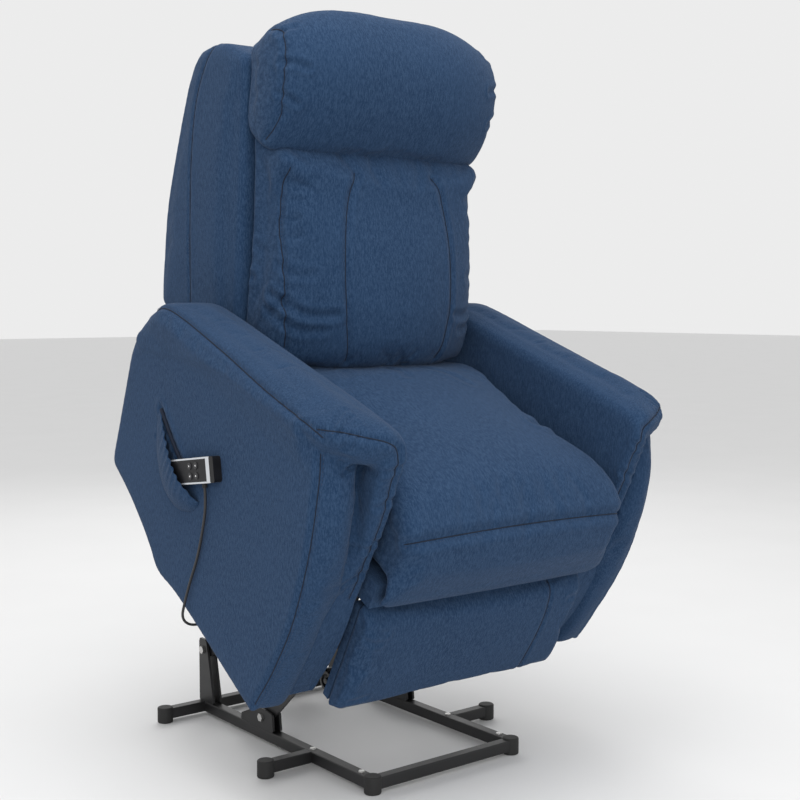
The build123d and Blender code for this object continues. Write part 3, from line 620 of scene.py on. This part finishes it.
def sew(piece, name, body, seams):
    """Presses seams in, stitches beside them and lays a very dark cord of painted shade along each; a seam is
    points, aim, depth, width and stitch offsets.
    """
    paths = [(curve_through(points), aim) for points, aim, _, _, _ in seams]
    for (line, _), (_, _, depth, width, _) in zip(lay_on(piece, paths), seams):
        press_in(piece, line, depth, width)
    laid = lay_on(piece, paths)
    rows = []
    for (line, normals), seam in zip(laid, seams):
        rows += [(line, normals, offset) for offset in seam[4]]
    stitches(name, rows, body)
    # A very dark cord along each seam: painted shade in its groove.
    seam_shadow_lines(name.replace("stitching", "seams"), laid, body)


def creases(piece, folds):
    """Folds in the cloth with no stitching: points, aim, depth and width."""
    laid = lay_on(piece, [(curve_through(points), aim) for points, aim, _, _ in folds])
    for (line, _), (_, _, depth, width) in zip(laid, folds):
        press_in(piece, line, depth, width, 0.6)


def upholstered(piece, body, fullness, *nodes):
    """A finished stuffed piece: what it rides on, what it stands for, and how full it is, which is not used.
    """
    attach(piece, body)
    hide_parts(*nodes)


front_on = (0, 1, 0)
from_above = (0, 0, -1)

# ------------------------------------------------------------------ the seat cushion
# A foam block with fibre on top in one sewn cover. Its front rolls over the seat box's edge; one
# curved seam joins the top panel to the front roll. The seat box and deck, the footrest's board
# and the arms' boxes are wrapped in the same cloth, stapled underneath.
seat_ends = [
    (84, 345), (88, 410), (84, 456), (30, 472), (-60, 470), (-160, 470), (-260, 478), (-340, 484),
    (-400, 470), (-432, 440), (-438, 390), (-432, 330), (-418, 299), (-404, 298), (-400, 345),
    (-200, 345),
]
seat_middle = [
    (84, 345), (88, 420), (84, 470), (26, 496), (-60, 506), (-160, 512), (-260, 514), (-345, 506),
    (-410, 484), (-440, 445), (-447, 390), (-438, 330), (-420, 299), (-404, 298), (-400, 345),
    (-200, 345),
]
finish_node(run_cloth, "seat_box", "seat_deck", "footrest_board", "left_arm_frame", "right_arm_frame")
seat = solid("seat_cushion_cover", [stuffed(seat_ends, -258, 258, 24, 1, seat_middle)], run_cloth)
fill(seat, 7, 12, 4, lambda p: np.clip((p[:, 2] - 335) / 40, 0, 1) * np.clip((30 - p[:, 1]) / 60, 0, 1))
front_seam = [(x, -442 + 0.00022 * x * x, 458 - 0.0003 * x * x) for x in (-256, -200, -100, 0, 100, 200, 256)]
sew(seat, "seat_front_stitching", "chair", [(front_seam, (0, 0.75, -0.65), 6, 8, (-5,))])
seat_folds = []
for x0, x1, y0, y1 in ((-120, -160, 4, -60), (60, 120, 4, -80), (-20, -14, 4, -44), (170, 206, 0, -80)):
    middle = ((x0 + x1) / 2 + 6, (y0 + y1) / 2, 490)
    seat_folds.append(([(x0, y0, 480), middle, (x1, y1, 490)], from_above, 1.8, 8))
for x0, x1 in ((226, 168), (-226, -176)):
    seat_folds.append(([(x0, -196, 490), ((x0 + x1) / 2, -214, 490), (x1, -222, 490)], from_above, 3.2, 9))
creases(seat, seat_folds)
upholstered(seat, "chair", 0.8, "seat_cushion")

# ------------------------------------------------------------------ the footrest pad
# A flat foam pad on a board, in a cover with one upright seam near the sitter's left.
foot_points = [
    (-374, 60), (-392, 58), (-405, 70), (-410, 110), (-412, 165), (-409, 225), (-402, 262), (-388, 276),
    (-374, 275), (-372, 170),
]
foot = solid("footrest_pad_cover", [stuffed(foot_points, -259, 259, 14)], run_cloth)
fill(foot, 6, 8, 3, lambda p: np.clip((-376 - p[:, 1]) / 12, 0, 1))
sew(foot, "footrest_stitching", "footrest", [
    ([(168, -405, 272), (171, -410, 200), (166, -410, 120), (163, -405, 62)], front_on, 2.6, 4, (3.5,)),
])
creases(foot, [
    ([(x0, -400, z0), ((x0 + x1) / 2, -405, (z0 + z1) / 2), (x1, -408, z1)], front_on, 1.8, 4.5)
    for x0, z0, x1, z1 in (
        (-245, 246, -215, 238), (-246, 222, -224, 219), (246, 240, 222, 236), (-240, 90, -210, 96)
    )
])
upholstered(foot, "footrest", 0.6, "footrest_pad")

# ------------------------------------------------------------------ the back cushion
# Three sewn panels, the middle one between two curved seams, with a gusset down each side; the
# filling is fibre, fullest in the middle, so it slumps into soft folds near the bottom.
back_ends = [
    (96, 464), (150, 464), (184, 488), (240, 640), (300, 778), (322, 832), (270, 838), (222, 836),
    (204, 782), (172, 706), (138, 634), (108, 566), (94, 516),
]
back_middle = [
    (24, 484), (100, 460), (180, 484), (240, 640), (300, 778), (322, 834), (250, 840), (194, 836),
    (152, 772), (96, 700), (52, 628), (20, 566), (6, 520),
]
back = solid("back_cushion_cover", [stuffed(back_ends, -240, 240, 16, 2, back_middle, 2.2)], run_cloth)


def clear_of_shell(p):
    """1 in front of the shell's face, falling to 0 on it."""
    face = 198 + (p[:, 2] - 526) * 0.4259
    return np.clip((face - 8 - p[:, 1]) / 40, 0, 1)


fill(back, 7, 16, 4, clear_of_shell)
back_folds = []
for side in (-1, 1):
    for z, y, reach, depth in ((560, 98, 74, 2.2), (592, 112, 96, 3.0), (650, 138, 52, 1.6)):
        back_folds.append(([(side * 238, y, z), (side * (238 - reach / 2), y - reach * 0.34, z - 7),
                            (side * (238 - reach), y - reach * 0.6, z + 4)], front_on, depth, 6.5))
creases(back, back_folds)
back_seams = []
for side in (-1, 1):
    panel = [(side * 92, 200, 822), (side * 108, 180, 796), (side * 122, 120, 736), (side * 127, 80, 668),
             (side * 124, 50, 600), (side * 116, 30, 548), (side * 108, 26, 508)]
    back_seams.append((panel, front_on, 4.2, 6, (-4.5, 4.5)))
    gusset = [(side * 220, 236, 816), (side * 222, 200, 760), (side * 223, 150, 690), (side * 222, 112, 620),
              (side * 220, 90, 560), (side * 216, 90, 512)]
    back_seams.append((gusset, front_on, 2.8, 4.5, (-4 * side,)))
sew(back, "back_stitching", "backrest", back_seams)
upholstered(back, "backrest", 0.75, "back_cushion")

# ------------------------------------------------------------------ the headrest pillow
# A full pillow the whole width of the back: a front panel that wraps over the top, and a gusset at
# each end whose seam is gathered near the top.
head_ends = [
    (262, 826), (246, 852), (238, 900), (242, 946), (260, 990), (280, 1014), (306, 1026), (338, 1018),
    (366, 994), (382, 974), (380, 958), (364, 926), (334, 846), (296, 824),
]
head_middle = [
    (222, 820), (208, 846), (200, 900), (202, 950), (222, 1010), (260, 1054), (312, 1078), (354, 1076),
    (384, 1042), (396, 996), (386, 962), (364, 926), (330, 842), (276, 822),
]
head = solid("headrest_cover", [stuffed(head_ends, -254, 254, 18, 1, head_middle, 3.4)], run_cloth)
fill(head, 6, 6, 3, lambda p: np.clip(clear_of_shell(p) + np.clip((p[:, 2] - 975) / 20, 0, 1), 0, 1))
head_seams = []
head_folds = []
for side in (-1, 1):
    seam = [(side * 280, 258, 844), (side * 280, 244, 872), (side * 280, 238, 905), (side * 280, 246, 950),
            (side * 280, 264, 998), (side * 280, 284, 1022), (side * 280, 306, 1032), (side * 280, 340, 1022)]
    head_seams.append((seam, (-side, 0.1, -0.1), 3.2, 5, (3.5,)))
    for (y0, z0), (y1, z1), depth, reach in (((240, 938), (214, 930), 2.6, 30),
                                             ((252, 990), (226, 994), 3.0, 42),
                                             ((286, 1030), (276, 1050), 2.4, 26)):
        head_folds.append(([(side * 263, y0, z0), (side * (263 - reach / 2), (y0 + y1) / 2,
                                                   (z0 + z1) / 2 + 2),
                            (side * (263 - reach), y1, z1)], (-side * 0.5, 0.8, -0.3), depth, 5))
creases(head, head_folds)
sew(head, "headrest_stitching", "backrest", head_seams)
upholstered(head, "backrest", 0.85, "headrest_pillow")

# ------------------------------------------------------------------ the back's shell
# A plywood and foam shell in a tight cover: two winged sides with an upright seam, and a plain back
# panel closed by a seam along each rear edge.
shell_points = [
    (166, 430), (198, 520), (250, 646), (310, 788), (372, 930), (392, 954), (412, 958), (480, 950),
    (540, 916), (560, 888), (569, 850), (571, 800), (563, 704), (547, 589), (520, 502), (482, 412),
    (450, 390), (300, 398), (190, 412),
]
shell = solid("back_shell_cover", [stuffed(shell_points, -256, 256, 14, 5)], wrap_cloth)
fill(shell, 8, 4, 3)
shell_seams = []
for side in (-1, 1):
    shell_seams.append(([(side * 270, 352, 460), (side * 270, 420, 600), (side * 270, 480, 730),
                         (side * 270, 508, 830),
                         (side * 270, 505, 935)], (-side, 0, 0), 2.6, 4.5, (3.5,)))
    shell_seams.append(([(side * 240, 490, 430), (side * 240, 520, 502), (side * 240, 547, 589),
                         (side * 240, 563, 704),
                         (side * 240, 571, 800), (side * 240, 566, 868)], (0, -1, 0), 2.4, 4, (-3.5, 3.5)))
shell_seams.append(([(-236, 566, 876), (-100, 568, 872), (0, 569, 870), (100, 568, 872), (236, 566, 876)],
                    (0, -1, 0), 2.2, 4, (3.5,)))
sew(shell, "shell_stitching", "backrest", shell_seams)
upholstered(shell, "backrest", 0.3, "back_shell")

# ------------------------------------------------------------------ the arms
# Each arm is a timber box in padded cloth: a side panel, a narrow front panel sewn to it, a pad
# whose front end hangs over as a hood, and an inner cover that drapes down beside the seat.
side_points = [
    (-358, 54), (-340, 46), (-289, 47), (-167, 56), (-49, 62), (28, 58), (74, 80), (124, 101), (192, 123),
    (258, 138), (280, 152), (290, 230), (300, 320), (305, 389), (290, 440), (264, 490), (200, 520), (28, 545),
    (-146, 566), (-262, 580), (-310, 552), (-336, 500), (-368, 392), (-384, 263), (-374, 150),
]
lining_points = [
    (-352, 62), (-330, 58), (-167, 66), (28, 66), (124, 108), (258, 146), (276, 170), (290, 320),
    (298, 389), (262, 474), (28, 500), (-146, 520), (-262, 535), (-306, 536), (-334, 480), (-362, 380),
    (-374, 263), (-366, 150),
]
top_points = [
    (-290, 535), (-330, 546), (-356, 556), (-376, 576), (-374, 600), (-344, 615), (-250, 608), (-120, 590),
    (40, 567), (150, 551), (228, 534), (268, 504), (292, 450), (298, 400), (280, 396), (240, 440),
    (160, 480), (0, 510), (-160, 525),
]
face_points = [
    (-300, 560), (-330, 505), (-362, 420), (-382, 330), (-386, 250), (-376, 150), (-356, 56), (-330, 56),
    (-330, 150), (-334, 263), (-318, 390), (-290, 490), (-276, 560),
]
face_middle = [
    (-318, 560), (-362, 505), (-388, 420), (-398, 330), (-396, 250), (-382, 150), (-360, 54), (-330, 56),
    (-330, 150), (-334, 263), (-318, 390), (-290, 490), (-276, 560),
]
drape_points = [
    (-336, 236), (-358, 222), (-376, 240), (-384, 300), (-386, 380), (-388, 460), (-384, 530),
    (-382, 576), (-360, 600), (-300, 596), (-120, 572), (60, 548), (200, 524), (256, 488), (262, 430),
    (200, 400), (60, 396), (-100, 392), (-240, 384), (-296, 340), (-314, 280),
]


def arm_hold(p):
    """Little swelling towards the seat, and little on the flat of the side panel."""
    flat = np.clip((np.abs(p[:, 0]) - 376) / 14, 0, 1) * np.clip((520 - 0.1 * p[:, 1] - p[:, 2]) / 40, 0, 1)
    return np.clip((np.abs(p[:, 0]) - 266) / 16, 0.1, 1) * (1 - 0.8 * flat)


hood = stuffed(top_points, 268, 400, 30)
outer = np.clip((hood[..., 0] - 296) / 104, 0, 1) ** 1.4 * np.clip((-230 - hood[..., 1]) / 120, 0, 1)
hood[..., 1] += 56 * outer
hood[..., 2] -= 10 * outer
for side, hand in ((1, "left"), (-1, "right")):
    forms = [
        stuffed(side_points, 362, 396, 12),
        stuffed(face_points, 320, 392, 12, 0, face_middle, 1.6),
        stuffed(lining_points, 266, 290, 6),
        hood,
        stuffed(drape_points, 267, 303, 14, 1),
    ]
    arm = solid(f"{hand}_arm_cover", forms, wrap_cloth, side < 0)
    fill(arm, 7, 8, 3, arm_hold)
    shoulder = [(side * 400, 270, 486), (side * 400, 209, 524), (side * 400, 28, 548),
                (side * 400, -146, 563),
                (side * 400, -264, 578), (side * 400, -312, 580)]
    rim = [(side * 394, -326, 596), (side * 372, -352, 606), (side * 340, -378, 610), (side * 304, -392, 606),
           (side * 286, -398, 590), (side * 282, -402, 540), (side * 281, -402, 480), (side * 281, -400, 400),
           (side * 283, -398, 320), (side * 288, -392, 262)]
    front = [(side * 396, -312, 545), (side * 396, -336, 499), (side * 396, -366, 392),
             (side * 396, -380, 263),
             (side * 396, -370, 150), (side * 396, -354, 66)]
    folds = []
    for y, z in ((-318, 606), (-336, 610), (-352, 612), (-296, 602)):
        folds.append(([(side * 380, y - 16, z - 4), (side * 366, y - 6, z + 2), (side * 346, y + 10, z + 4)],
                      (-side * 0.3, 0.3, -0.9), 2.2, 4))
    for z, reach in ((540, 20), (478, 22), (396, 18), (330, 16)):
        folds.append(([(side * 300, -396, z - 6), (side * 288, -398, z + 4),
                       (side * (288 - reach), -384, z + 16)],
                      (side * 0.5, 0.85, 0), 2.6, 4.5))
    if side < 0:
        slit = [(-402, 146, 350), (-402, 104, 330), (-402, 67, 314), (-402, 27, 301), (-402, 4, 296)]
        # A very dark cord along the slit: painted shade in the slit's opening.
        seam_shadow_lines("pocket_slit_shadow", lay_on(arm, [(curve_through(slit), (1, 0, 0))]), "chair", 3.4)
        folds.append((slit, (1, 0, 0), 3, 6))
        for y, z in ((128, 338), (108, 328), (88, 319), (68, 311), (48, 305), (30, 299)):
            folds.append(([(-402, y, z - 4), (-402, y + 3, z - 22), (-402, y + 10, z - 46)],
                          (1, 0, 0), 1.8, 3.2))
    creases(arm, folds)
    sew(arm, f"{hand}_arm_stitching", "chair", [
        (shoulder, (-side, 0, -0.35), 2.8, 4.5, (-3.5, 5)),
        (rim, (0, 0.9, -0.4), 2.8, 4.5, (-3.5,)),
        (front, (-side, 0.35, 0), 3.2, 4.5, (5,)),
    ])
    covered = ("outer_panel", "front_panel", "pad", "inner_cover")
    upholstered(arm, "chair", 0.4, *(f"{hand}_arm_{part}" for part in covered))

# ------------------------------------------------------------------ the handset's pocket
# A pouch behind a slanting slit in the right side panel. Its lower lip is gathered on elastic, and
# it bulges where the handset sits in it.
lip_line = curve_through([(-400, 145, 348), (-400, 104, 327), (-400, 67, 312), (-400, 27, 299),
                          (-400, -6, 288),
                          (-400, -28, 283), (-400, -50, 274)], 2.0)
along = np.linspace(0, 1, len(lip_line))[None, :]
down = np.linspace(0, 1, 26)[:, None]
bulge = 21.5 * np.sin(pi * along**1.7) ** 0.75
pleats = (1.6 * np.sin(2 * pi * 11 * along + 1.3 * np.sin(9 * along))
          * np.exp(-3.2 * down) * np.sin(pi * along))
height = bulge * (1 - down**3) ** 1.2 + pleats - 2.5 * down**2 + 0.5
fall = 84 * np.sin(pi * along) ** 0.5 * down + 0.8 * np.sin(2 * pi * 11 * along) * (1 - down)
pouch_grid = np.stack([
    -399 - height,
    lip_line[None, :, 1] + 0.18 * fall,
    lip_line[None, :, 2] - fall,
], -1)
pouch_mesh = bpy.data.meshes.new("handset_pouch")
pouch_mesh.from_pydata(
    place(*np.moveaxis(pouch_grid.reshape(-1, 3), 1, 0)),
    [],
    quads(*pouch_grid.shape[:2], closed=False)[:, ::-1].tolist(),
)
pouch_mesh.materials.append(wrap_cloth.material)
pouch_mesh.shade_smooth()
pouch = bpy.data.objects.new("handset_pouch", pouch_mesh)
scene.collection.objects.link(pouch)
thick = pouch.modifiers.new("cloth_thickness", "SOLIDIFY")
thick.thickness = 0.0022
thick.offset = 0
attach(pouch, "chair")
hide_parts("handset_pocket")

# ------------------------------------------------------------------ the handset
# A slim two-part case in gloss black with a silver trim band, four round keys and small white
# arrows printed above them.
gloss_finish = Finish("gloss_black_plastic")
gloss_haze = noise(gloss_finish, (60, 60, 60), 3)
gloss_finish.set(
    Base_Color=gloss_finish.mix(gloss_haze, (0.006, 0.006, 0.007, 1), (0.011, 0.011, 0.013, 1)),
    Roughness=0.34 + 0.12 * gloss_haze, Specular_IOR_Level=0.25,
)
key_finish = Finish("soft_touch_keys")
key_grain = noise(key_finish, (900, 900, 900), 3)
key_finish.set(
    Base_Color=key_finish.mix(key_grain, (0.018, 0.018, 0.02, 1), (0.03, 0.03, 0.033, 1)),
    Roughness=0.45 + 0.2 * key_grain,
)
trim_finish = Finish("satin_silver_trim")
trim_grain = noise(trim_finish, (1500, 80, 80), 3)
trim_finish.set(
    Base_Color=trim_finish.mix(trim_grain, (0.62, 0.65, 0.69, 1), (0.78, 0.8, 0.83, 1)), Metallic=0.7,
    Roughness=0.3 + 0.15 * trim_grain,
)
print_finish = Finish("white_print")
print_wear = noise(print_finish, (400, 400, 400), 3)
print_finish.set(
    Base_Color=print_finish.mix(print_wear, (0.75, 0.75, 0.75, 1), (0.9, 0.9, 0.9, 1)), Roughness=0.5
)
finish_node(gloss_finish, "handset_case", "handset_face")
finish_node(trim_finish, "handset_band")
finish_node(key_finish, "lift_button", "lower_button", "recline_button", "upright_button")


def on_handset(u, v, h):
    """Handset millimetres - along to its free end, across, and out from the chair - as model metres."""
    return place(-396 - h, 2 - 0.809 * u + 0.588 * v, 306 + 0.588 * u + 0.809 * v)


arrow = np.array([(-1.6, -1.8), (1.9, 0), (-1.6, 1.8)])
for u, v, way, body in ((28, 9, 1, "lift_button_body"), (28, -9, -1, "lower_button_body"),
                        (50, 9, -1, "recline_button_body"), (50, -9, 1, "upright_button_body")):
    outline = arrow * (way, 1)
    corners = [on_handset(u + a, v + b, h) for h in (18.9, 19.12) for a, b in outline]
    mesh = bpy.data.meshes.new(body.replace("_button_body", "_arrow"))
    mesh.from_pydata(corners, [], [(0, 1, 2), (5, 4, 3), (0, 3, 4, 1), (1, 4, 5, 2), (2, 5, 3, 0)])
    shape = bmesh.new()
    shape.from_mesh(mesh)
    bmesh.ops.recalc_face_normals(shape, faces=shape.faces)
    shape.to_mesh(mesh)
    shape.free()
    mesh.materials.append(print_finish.material)
    mark = bpy.data.objects.new(mesh.name, mesh)
    scene.collection.objects.link(mark)
    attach(mark, body)
